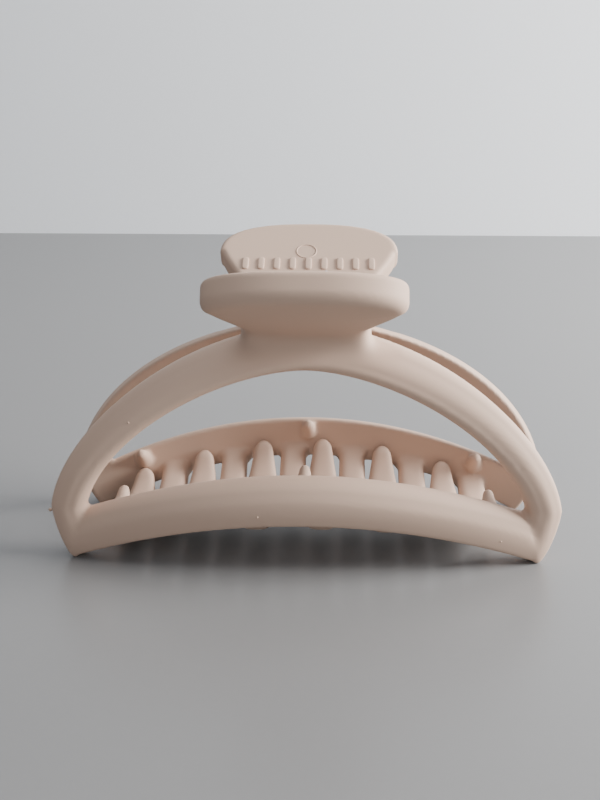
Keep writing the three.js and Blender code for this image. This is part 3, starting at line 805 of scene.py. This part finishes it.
def face_ring(centre, u, v, radius, tube):
    """A fine raised ring on a face spanned by the directions u and v, as an ejector pin leaves."""
    around = np.linspace(0, 2 * np.pi, RING_POINTS, endpoint=False)[:, None, None]
    turn = np.linspace(0, 2 * np.pi, 8, endpoint=False)[None, :, None]
    outward = np.cos(around) * u + np.sin(around) * v
    points = centre + outward * (radius + tube * np.cos(turn)) + np.cross(u, v) * tube * np.sin(turn)
    return Skin.of_grid(points, wrapped=True)


def ejector_ring(sizes, x):
    """A ring on the bar's inner face, spanned by the face's slopes along X and Z."""
    z = bar_top(sizes, x) - EJECTOR_DROP
    step = 0.1 * MM
    y = sizes.wall - reach(sizes, x, z)
    u = np.array([step, sizes.wall - reach(sizes, x + step, z) - y, 0])
    v = np.array([0, sizes.wall - reach(sizes, x, z + step) - y, step])
    u, v = u / np.linalg.norm(u), v / np.linalg.norm(v)
    return face_ring(np.array([x, y, z]), u, v, EJECTOR_RADIUS, EJECTOR_TUBE)


def grip_rib(sizes, lever, across):
    """A soft-edged rib that lies along the lever on its inner face."""
    _, along, through = lever_plane(sizes, lever)
    rib = pillow((0, 0, 0), RIB_HALF, power=0.45, sides=12)
    local = rib.points
    centre = on_lever(sizes, lever, across, RIBS_FROM_END, lever.thickness)
    turned = local[:, :1] * [1, 0, 0] + local[:, 1:2] * along + local[:, 2:] * through
    rib.points = centre + turned
    return rib


def nib(sizes, x, z, size, inset):
    """A round nib on the outer face; x, z and size are in millimetres."""
    x, z = x * MM, z * MM
    return pillow((x, -reach(sizes, x, z) + inset, z), (size * MM,) * 3, power=1, sides=10)


def face_details(settings):
    """Moulding marks: ejector rings on the bar and the lever, grip ribs on the lever, and small nibs."""
    sizes, lever = settings.frame, settings.lever
    _, along, _ = lever_plane(sizes, lever)
    across = np.array([1.0, 0, 0])
    middle = on_lever(sizes, lever, *LEVER_RING_PLACE, lever.thickness)
    skins = [ejector_ring(sizes, x) for x in EJECTOR_PLACES]
    skins.append(face_ring(middle, across, along, LEVER_RING_RADIUS, LEVER_RING_TUBE))
    rib_numbers = range(-RIBS_EACH_SIDE, RIBS_EACH_SIDE + 1)
    skins += [grip_rib(sizes, lever, RIB_PITCH * number) for number in rib_numbers]
    skins += [nib(sizes, *place, -0.2 * MM) for place in NIBS]
    skins.append(nib(sizes, *GATE_NIB, 2.2 * MM))
    return skins


def jaw_masks(points, settings):
    """Masks over the moulding: the thin peg tips, where a warm glow of light shining through is painted, and
    the frame's inner side, where shade is painted.
    """
    sizes, teeth = settings.frame, settings.teeth
    tips = np.zeros(len(points))
    # Painted light: this mask lays a warm glow on the thin peg tips, as if light shone through them.
    for x in peg_positions(teeth):
        base, way = peg_frame(sizes, teeth, x)
        offset = points - base
        along = offset @ way
        away = np.linalg.norm(offset - along[:, None] * way, axis=1)
        near = smoothstep(-away, -TIP_FAR, -TIP_NEAR)
        tips = np.maximum(tips, near * smoothstep(along, TIP_START, TIP_FULL * teeth.peg_length))
    # Painted shade: this mask darkens the frame's inner side, where the shade falls.
    depth = reach(sizes, points[:, 0], points[:, 2]) + points[:, 1]
    inside = smoothstep(depth, INSIDE_START * sizes.wall, INSIDE_FULL * sizes.wall)
    return tips, inside


def edge_mask(mesh, points, edges):
    """How far a point stands out from its neighbours along its normal: 0.5 is flat, more is an edge."""
    normals = np.empty(len(points) * 3, np.float32)
    mesh.vertices.foreach_get("normal", normals)
    stand = np.einsum("ij,ij->i", normals.reshape(-1, 3), points - neighbour_mean(points, edges))
    stand = stand[:, None]
    for _ in range(EDGE_PASSES):
        stand = neighbour_mean(stand, edges)
    return np.clip(0.5 + stand[:, 0] / EDGE_STAND, 0, 1)


def add_mask(mesh, name, values):
    attribute = mesh.attributes.new(name, "FLOAT", "POINT")
    attribute.data.foreach_set("value", values.astype(np.float32))


def finished_jaw(name, settings, turned):
    """The moulding with its masks and details, as a mesh; turned swings it end for end about Z."""
    finish = settings.finish
    raw = merged(jaw_skin(settings).mesh("jaw_surfaces"), finish.voxel)
    points, edges = mesh_arrays(raw)
    points = soften_neck(soften(points, edges, finish.softening), edges, settings)
    points[:, 2] = np.maximum(points[:, 2], 0)
    raw.vertices.foreach_set("co", points.astype(np.float32).ravel())
    raw.update()
    tips, inside = jaw_masks(points, settings)
    edge = edge_mask(raw, points, edges)
    moulding = Skin.of_mesh(raw, points)
    details = face_details(settings)
    whole = Skin.joined([moulding, *details])
    extra = len(whole.points) - len(points)
    if turned:
        whole.points = whole.points * np.array([-1, -1, 1])
    mesh = whole.mesh(name)
    add_mask(mesh, "tip", np.concatenate([tips, np.zeros(extra)]))
    add_mask(mesh, "inside", np.concatenate([inside, np.zeros(extra)]))
    # Details get a slightly raised edge value, which gives them a faint painted highlight.
    add_mask(mesh, "edge", np.concatenate([edge, np.full(extra, DETAIL_EDGE)]))
    return mesh


# ---- steel -----------------------------------------------------------------------------------------------


def pin_skin(hinge):
    """The pin: shank and two domed heads as one profile carried round the hinge axis."""
    shank = hinge.pin_half - hinge.head_length
    dome = np.linspace(0, np.pi / 2, 12)
    radius = hinge.head_radius * np.cos(dome) ** HEAD_DOME_POWER
    x = shank + hinge.head_length * (HEAD_RIM + (1 - HEAD_RIM) * np.sin(dome))
    under = np.array([[hinge.pin_radius, shank], [hinge.head_radius * HEAD_UNDERSIDE, shank]])
    right = np.concatenate([under, np.stack([radius, x], -1)[:-1]])
    left = right[::-1] * np.array([1, -1])
    grid = lathe(np.concatenate([left, right]), TURNED_SIDES)
    grid[..., 2] += HINGE_Z
    return Skin.of_grid(grid)


def spring_path(hinge, side):
    """Half the spring's centreline, from the coil's middle: a helix, then a leg along its tangent.
    A point of the helix is at (x, R cos a, R sin a); side is -1 to the front lever and 1 to the rear."""
    half_coil = hinge.spring_bay / 2 - hinge.wire_radius - hinge.gap
    share = np.linspace(0, 1, COIL_STATIONS)
    end = np.pi / 2 + side * hinge.leg_angle
    sweep = side * np.pi * hinge.coil_turns
    angle = end - sweep * (1 - share)
    x = side * half_coil * share
    radius = hinge.coil_radius
    coil = np.stack([x, radius * np.cos(angle), HINGE_Z + radius * np.sin(angle)], -1)
    way = np.array([0, side * math.cos(hinge.leg_angle), math.sin(hinge.leg_angle)])
    leg = coil[-1] + way * np.linspace(0, hinge.leg_length, LEG_STATIONS)[1:, None]
    return np.concatenate([coil, leg])


def wire_skin(path, radius, sides=14):
    """A round wire along a path, its section spanned by the part of X across the path and a third
    direction. The last stations close over a round end."""
    tangent = np.gradient(path, axis=0)
    tangent /= np.linalg.norm(tangent, axis=1)[:, None]
    first = np.array([1.0, 0, 0]) - tangent[:, :1] * tangent
    first /= np.linalg.norm(first, axis=1)[:, None]
    second = np.cross(tangent, first)
    cap = np.linspace(0, np.pi / 2, 7)[1:-1]
    end = path[-1] + tangent[-1] * radius * np.sin(cap)[:, None]
    centre = np.concatenate([path, end])
    first = np.concatenate([first, np.repeat(first[-1:], len(cap), 0)])
    second = np.concatenate([second, np.repeat(second[-1:], len(cap), 0)])
    size = np.concatenate([np.full(len(path), radius), radius * np.cos(cap)])[:, None, None]
    angle = np.linspace(0, 2 * np.pi, sides, endpoint=False)[None, :, None]
    ring = np.cos(angle) * first[:, None] + np.sin(angle) * second[:, None]
    return Skin.of_grid(centre[:, None] + size * ring)


# ---- materials -------------------------------------------------------------------------------------------


def new_group(name, inputs, outputs):
    """A shader node group with float, vector or colour sockets, and its two end nodes."""
    group = bpy.data.node_groups.new(name, "ShaderNodeTree")
    kinds = {"float": "NodeSocketFloat", "vector": "NodeSocketVector", "colour": "NodeSocketColor"}
    for label, kind, default in inputs:
        socket = group.interface.new_socket(label, in_out="INPUT", socket_type=kinds[kind])
        if default is not None:
            socket.default_value = default
    for label, kind in outputs:
        group.interface.new_socket(label, in_out="OUTPUT", socket_type=kinds[kind])
    return group, group.nodes.new("NodeGroupInput"), group.nodes.new("NodeGroupOutput")


def noise(tree, vector, scale, detail, roughness=0.55):
    node = tree.nodes.new("ShaderNodeTexNoise")
    node.inputs["Scale"].default_value = scale
    node.inputs["Detail"].default_value = detail
    node.inputs["Roughness"].default_value = roughness
    tree.links.new(vector, node.inputs["Vector"])
    return node


def math_node(tree, operation, first, second=None, clamp=False):
    node = tree.nodes.new("ShaderNodeMath")
    node.operation = operation
    node.use_clamp = clamp
    for socket, value in zip(node.inputs, (first, second)):
        if isinstance(value, bpy.types.NodeSocket):
            tree.links.new(value, socket)
        elif value is not None:
            socket.default_value = value
    return node.outputs["Value"]


def map_range(tree, value, low, high, to_low=0.0, to_high=1.0):
    node = tree.nodes.new("ShaderNodeMapRange")
    tree.links.new(value, node.inputs["Value"])
    for label, setting in (
        ("From Min", low),
        ("From Max", high),
        ("To Min", to_low),
        ("To Max", to_high),
    ):
        node.inputs[label].default_value = setting
    return node.outputs["Result"]


def mix_colour(tree, factor, first, second):
    """A colour mix; each end is a socket or a colour."""
    node = tree.nodes.new("ShaderNodeMix")
    node.data_type = "RGBA"
    slots = [s for s in node.inputs if s.type == "RGBA"]
    tree.links.new(factor, node.inputs["Factor"])
    for socket, value in zip(slots, (first, second)):
        if isinstance(value, bpy.types.NodeSocket):
            tree.links.new(value, socket)
        else:
            socket.default_value = (*value, 1)
    return next(s for s in node.outputs if s.type == "RGBA")


def drift_group():
    """Slow colour drift and finer mottling of a moulded or drawn surface, as one mask from 0 to 1."""
    name = "Clip tone drift"
    if name in bpy.data.node_groups:
        return bpy.data.node_groups[name]
    inputs = [("Vector", "vector", None), ("Scale", "float", 60.0)]
    group, start, end = new_group(name, inputs, [("Drift", "float")])
    slow = noise(group, start.outputs["Vector"], 60, 3)
    fine = noise(group, start.outputs["Vector"], 600, 4)
    group.links.new(start.outputs["Scale"], slow.inputs["Scale"])
    mottled = math_node(group, "MULTIPLY", fine.outputs["Fac"], 0.35)
    summed = math_node(group, "ADD", math_node(group, "MULTIPLY", slow.outputs["Fac"], 0.65), mottled)
    group.links.new(map_range(group, summed, 0.36, 0.64), end.inputs["Drift"])
    return group


def grain_group():
    """Height of a fine moulded grain over gentle flow waves."""
    name = "Clip surface grain"
    if name in bpy.data.node_groups:
        return bpy.data.node_groups[name]
    inputs = [("Vector", "vector", None), ("Grain scale", "float", 5200.0), ("Wave share", "float", 0.5)]
    group, start, end = new_group(name, inputs, [("Height", "float")])
    grain = noise(group, start.outputs["Vector"], 5200, 2)
    group.links.new(start.outputs["Grain scale"], grain.inputs["Scale"])
    waves = noise(group, start.outputs["Vector"], 130, 2)
    lifted = math_node(group, "MULTIPLY", waves.outputs["Fac"], start.outputs["Wave share"])
    group.links.new(math_node(group, "ADD", grain.outputs["Fac"], lifted), end.inputs["Height"])
    return group


def marks_group():
    """Mask of fine handling scratches: thin crests of a noise stretched along X."""
    name = "Clip handling marks"
    if name in bpy.data.node_groups:
        return bpy.data.node_groups[name]
    inputs = [("Vector", "vector", None), ("Amount", "float", 0.5)]
    group, start, end = new_group(name, inputs, [("Marks", "float")])
    stretch = group.nodes.new("ShaderNodeMapping")
    stretch.inputs["Scale"].default_value = (0.12, 1.0, 1.0)
    stretch.inputs["Rotation"].default_value = (0.4, 0.5, 0.3)
    group.links.new(start.outputs["Vector"], stretch.inputs["Vector"])
    lines = noise(group, stretch.outputs["Vector"], 1600, 1)
    where = noise(group, start.outputs["Vector"], 90, 2)
    crest = map_range(group, lines.outputs["Fac"], 0.69, 0.74)
    patch = map_range(group, where.outputs["Fac"], 0.5, 0.62)
    product = math_node(group, "MULTIPLY", crest, patch)
    scaled = math_node(group, "MULTIPLY", product, start.outputs["Amount"])
    group.links.new(scaled, end.inputs["Marks"])
    return group


def place(tree, group, vector, **values):
    """A group node with its Vector linked and its other values set."""
    node = tree.nodes.new("ShaderNodeGroup")
    node.node_tree = group
    tree.links.new(vector, node.inputs["Vector"])
    for label, value in values.items():
        node.inputs[label.replace("_", " ")].default_value = value
    return node


def new_material(name, base, roughness, metallic=0.0):
    """A node material with one Principled shader: the material, its tree, the shader and Object
    coordinates."""
    material = bpy.data.materials.new(name)
    material.use_nodes = True
    material.diffuse_color = (*base, 1)
    tree = material.node_tree
    shader = tree.nodes["Principled BSDF"]
    shader.inputs["Base Color"].default_value = (*base, 1)
    shader.inputs["Roughness"].default_value = roughness
    shader.inputs["Metallic"].default_value = metallic
    coordinates = tree.nodes.new("ShaderNodeTexCoord")
    return material, tree, shader, coordinates.outputs["Object"]


def link_bump(tree, shader, height, strength, distance):
    bump = tree.nodes.new("ShaderNodeBump")
    bump.inputs["Strength"].default_value = strength
    bump.inputs["Distance"].default_value = distance
    tree.links.new(height, bump.inputs["Height"])
    tree.links.new(bump.outputs["Normal"], shader.inputs["Normal"])


def attribute(tree, name):
    node = tree.nodes.new("ShaderNodeAttribute")
    node.attribute_name = name
    return node.outputs["Fac"]


def jaw_plastic(finish):
    """Soft-touch plastic: drifting nude tone, a painted highlight along the edges, painted shade in the
    hollows and on the frame's inner side, a painted warm glow of light through the thin peg tips, fine grain
    and light scuffs.
    """
    name = "jaw_plastic"
    if name in bpy.data.materials:
        return bpy.data.materials[name]
    material, tree, shader, where = new_material(name, finish.plastic, 0.52)
    drift = place(tree, drift_group(), where, Scale=55.0).outputs["Drift"]
    marks = place(tree, marks_group(), where, Amount=0.5).outputs["Marks"]
    height = place(tree, grain_group(), where, Grain_scale=5200.0, Wave_share=1.4).outputs["Height"]
    # The edge mask paints light and shade: convex edges get a painted highlight and concave hollows get
    # painted shade.
    edge = map_range(tree, attribute(tree, "edge"), 0.56, 0.95)
    hollow_shade = map_range(tree, attribute(tree, "edge"), 0.44, 0.1)
    inside = attribute(tree, "inside")
    tone = mix_colour(tree, math_node(tree, "MULTIPLY", drift, 0.3), finish.plastic, finish.plastic_deep_and_shade)
    # A paler tone for the painted highlight on the edges and for the real scuffs.
    sheen_and_scuff_tone = tuple(min(1, c * 1.16 + 0.02) for c in finish.plastic)
    tone = mix_colour(tree, math_node(tree, "MULTIPLY", edge, 0.5), tone, sheen_and_scuff_tone)
    # Painted shade: the hollows are darkened towards the deep tone.
    tone = mix_colour(tree, math_node(tree, "MULTIPLY", hollow_shade, 0.5), tone, finish.plastic_deep_and_shade)
    # Painted shade: the frame's inner side is darkened towards the deep tone.
    tone = mix_colour(tree, math_node(tree, "MULTIPLY", inside, 0.6), tone, finish.plastic_deep_and_shade)
    tone = mix_colour(tree, math_node(tree, "MULTIPLY", marks, 0.3), tone, sheen_and_scuff_tone)
    # Painted light: the thin peg tips are tinted as if light shone through them.
    tone = mix_colour(tree, attribute(tree, "tip"), tone, finish.amber_glow)
    tree.links.new(tone, shader.inputs["Base Color"])
    rough = math_node(tree, "ADD", 0.58, math_node(tree, "MULTIPLY", drift, 0.1))
    rough = math_node(tree, "SUBTRACT", rough, math_node(tree, "MULTIPLY", inside, 0.22))
    rough = math_node(tree, "SUBTRACT", rough, math_node(tree, "MULTIPLY", marks, 0.12), clamp=True)
    tree.links.new(rough, shader.inputs["Roughness"])
    link_bump(tree, shader, height, 0.25, 0.00004)
    shader.inputs["Specular IOR Level"].default_value = 0.22
    shader.inputs["Subsurface Weight"].default_value = 0.12
    shader.inputs["Subsurface Radius"].default_value = (1.0, 0.45, 0.25)
    shader.inputs["Subsurface Scale"].default_value = 0.0012
    return material


def steel(name, base, roughness):
    """Drawn steel: streaks round the wire, slight tarnish and fine scratches."""
    if name in bpy.data.materials:
        return bpy.data.materials[name]
    material, tree, shader, where = new_material(name, base, roughness, metallic=1.0)
    drift = place(tree, drift_group(), where, Scale=220.0).outputs["Drift"]
    marks = place(tree, marks_group(), where, Amount=1.0).outputs["Marks"]
    height = place(tree, grain_group(), where, Grain_scale=7000.0, Wave_share=0.2).outputs["Height"]
    tarnish = tuple(c * f for c, f in zip(base, (0.72, 0.68, 0.62)))
    tone = mix_colour(tree, math_node(tree, "MULTIPLY", drift, 0.45), base, tarnish)
    tree.links.new(tone, shader.inputs["Base Color"])
    rough = math_node(tree, "ADD", roughness, math_node(tree, "MULTIPLY", drift, 0.14))
    rough = math_node(tree, "ADD", rough, math_node(tree, "MULTIPLY", marks, 0.2), clamp=True)
    tree.links.new(rough, shader.inputs["Roughness"])
    link_bump(tree, shader, height, 0.3, 0.00002)
    return material


def studio_surface(name, base, roughness):
    """A plain satin sheet with a faint drift of tone."""
    material, tree, shader, where = new_material(name, base, roughness)
    drift = place(tree, drift_group(), where, Scale=4.0).outputs["Drift"]
    darker = tuple(c * 0.97 for c in base)
    tree.links.new(mix_colour(tree, drift, base, darker), shader.inputs["Base Color"])
    return material


# ---- operators -------------------------------------------------------------------------------------------


def add_piece(name, mesh, material, body, slot, *nodes):
    """Links a finished mesh as a piece that rides on a body and stands for CAD nodes."""
    piece = bpy.data.objects.new(name, mesh)
    bpy.context.scene.collection.objects.link(piece)
    mesh.materials.append(material)
    if body:
        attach(piece, body)
    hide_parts(*nodes)
    return piece


class CLAWCLIP_OT_jaws(bpy.types.Operator):
    """Build the front and rear jaws"""

    bl_idname = "clawclip.jaws"
    bl_label = "Jaws"

    def execute(self, context):
        settings = context.scene.claw_clip
        material = jaw_plastic(settings.finish)
        for body, turned in (("front", False), ("rear", True)):
            name = f"{body}_jaw_moulding"
            mesh = finished_jaw(name, settings, turned)
            add_piece(name, mesh, material, body, "jaw_plastic", f"{body}_jaw")
        return {"FINISHED"}


class CLAWCLIP_OT_pin(bpy.types.Operator):
    """Build the hinge pin"""

    bl_idname = "clawclip.pin"
    bl_label = "Hinge pin"

    def execute(self, context):
        settings = context.scene.claw_clip
        mesh = pin_skin(settings.hinge).mesh("drawn_pin")
        material = steel("pin_steel", settings.finish.steel, 0.24)
        add_piece("drawn_pin", mesh, material, "hinge", "pin_steel", "hinge_pin")
        return {"FINISHED"}


class CLAWCLIP_OT_spring(bpy.types.Operator):
    """Build the torsion spring as two halves, each of which winds from the hinge to its lever"""

    bl_idname = "clawclip.spring"
    bl_label = "Torsion spring"

    def execute(self, context):
        settings = context.scene.claw_clip
        hinge = settings.hinge
        material = steel("spring_steel", settings.finish.spring, 0.3)
        for name, body, side in (("spring_front_half", "front", -1), ("spring_rear_half", "rear", 1)):
            mesh = wire_skin(spring_path(hinge, side), hinge.wire_radius).mesh(name)
            piece = add_piece(name, mesh, material, None, "spring_steel", "torsion_spring")
            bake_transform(piece)
        return {"FINISHED"}


def add_area(name, location, target, size, energy, tint):
    """A square area light that faces its target."""
    data = bpy.data.lights.new(name, "AREA")
    data.shape = "SQUARE"
    data.size = size
    data.energy = energy
    data.color = tint
    lamp = bpy.data.objects.new(name, data)
    lamp.location = location
    way = np.subtract(target, location)
    heading = math.atan2(-way[0], way[1])
    tilt = math.pi / 2 + math.atan2(way[2], math.hypot(way[0], way[1]))
    lamp.rotation_euler = (tilt, 0, heading)
    bpy.context.scene.collection.objects.link(lamp)


class CLAWCLIP_OT_stage(bpy.types.Operator):
    """Build the table top, the backdrop, the lights and the camera"""

    bl_idname = "clawclip.stage"
    bl_label = "Studio"

    def execute(self, context):
        finish = context.scene.claw_clip.finish
        self.add_sheets(finish)
        self.add_lights()
        self.add_camera()
        return {"FINISHED"}

    def add_sheets(self, finish):
        """The table top and the wall behind it, each a flat grid."""
        across = np.linspace(-2.5, 2.5, 3)
        floor = np.array([[x, y, 0.0] for y in (-2.0, 0.4) for x in across])
        wall = np.array([[x, BACKDROP_Y, z] for z in (-0.0004, 1.6) for x in across])
        for name, points, base, roughness in (
            ("table_top", floor, finish.floor, 0.34),
            ("backdrop", wall, finish.wall, 0.8),
        ):
            rows = len(points) // 3
            corners = [3 * row + column for row in range(rows - 1) for column in (0, 1)]
            faces = [(corner, corner + 1, corner + 4, corner + 3) for corner in corners]
            mesh = bpy.data.meshes.new(name)
            mesh.from_pydata(points.tolist(), [], faces)
            mesh.materials.append(studio_surface(name, base, roughness))
            sheet = bpy.data.objects.new(name, mesh)
            bpy.context.scene.collection.objects.link(sheet)

    def add_lights(self):
        world = bpy.data.worlds.new("studio")
        world.use_nodes = True
        world.node_tree.nodes["Background"].inputs["Color"].default_value = (*WORLD_TINT, 1)
        world.node_tree.nodes["Background"].inputs["Strength"].default_value = WORLD_STRENGTH
        bpy.context.scene.world = world
        for light in LIGHTS:
            add_area(*light)

    def add_camera(self):
        data = bpy.data.cameras.new("camera")
        data.lens = CAMERA_LENS
        data.sensor_width = 36
        data.clip_start = 0.01
        data.clip_end = 10
        camera = bpy.data.objects.new("camera", data)
        camera.location = CAMERA_PLACE
        camera.rotation_euler = [math.radians(turn) for turn in CAMERA_TURN]
        bpy.context.scene.collection.objects.link(camera)
        bpy.context.scene.camera = camera


class CLAWCLIP_PT_parts(bpy.types.Panel):
    """Sizes, colours and build buttons of the claw clip"""

    bl_idname = "CLAWCLIP_PT_parts"
    bl_label = "Claw Clip"
    bl_space_type = "VIEW_3D"
    bl_region_type = "UI"
    bl_category = "Claw Clip"

    def draw(self, context):
        settings = context.scene.claw_clip
        for operator in OPERATORS:
            self.layout.operator(operator.bl_idname)
        for title in ("frame", "lever", "teeth", "hinge", "finish"):
            box = self.layout.box()
            box.label(text=title.capitalize())
            group = getattr(settings, title)
            for key in group.__annotations__:
                box.prop(group, key)


OPERATORS = (CLAWCLIP_OT_jaws, CLAWCLIP_OT_pin, CLAWCLIP_OT_spring, CLAWCLIP_OT_stage)
CLASSES = (
    ClipFrameSizes,
    ClipLeverSizes,
    ClipToothSizes,
    ClipHingeSizes,
    ClipFinish,
    ClipSettings,
    *OPERATORS,
    CLAWCLIP_PT_parts,
)


def register():
    for cls in CLASSES:
        bpy.utils.register_class(cls)
    bpy.types.Scene.claw_clip = PointerProperty(type=ClipSettings)


def unregister():
    del bpy.types.Scene.claw_clip
    for cls in reversed(CLASSES):
        bpy.utils.unregister_class(cls)


def main():
    register()
    bpy.ops.clawclip.stage()
    bpy.ops.clawclip.jaws()
    bpy.ops.clawclip.pin()
    bpy.ops.clawclip.spring()


if __name__ == "__main__":
    main()
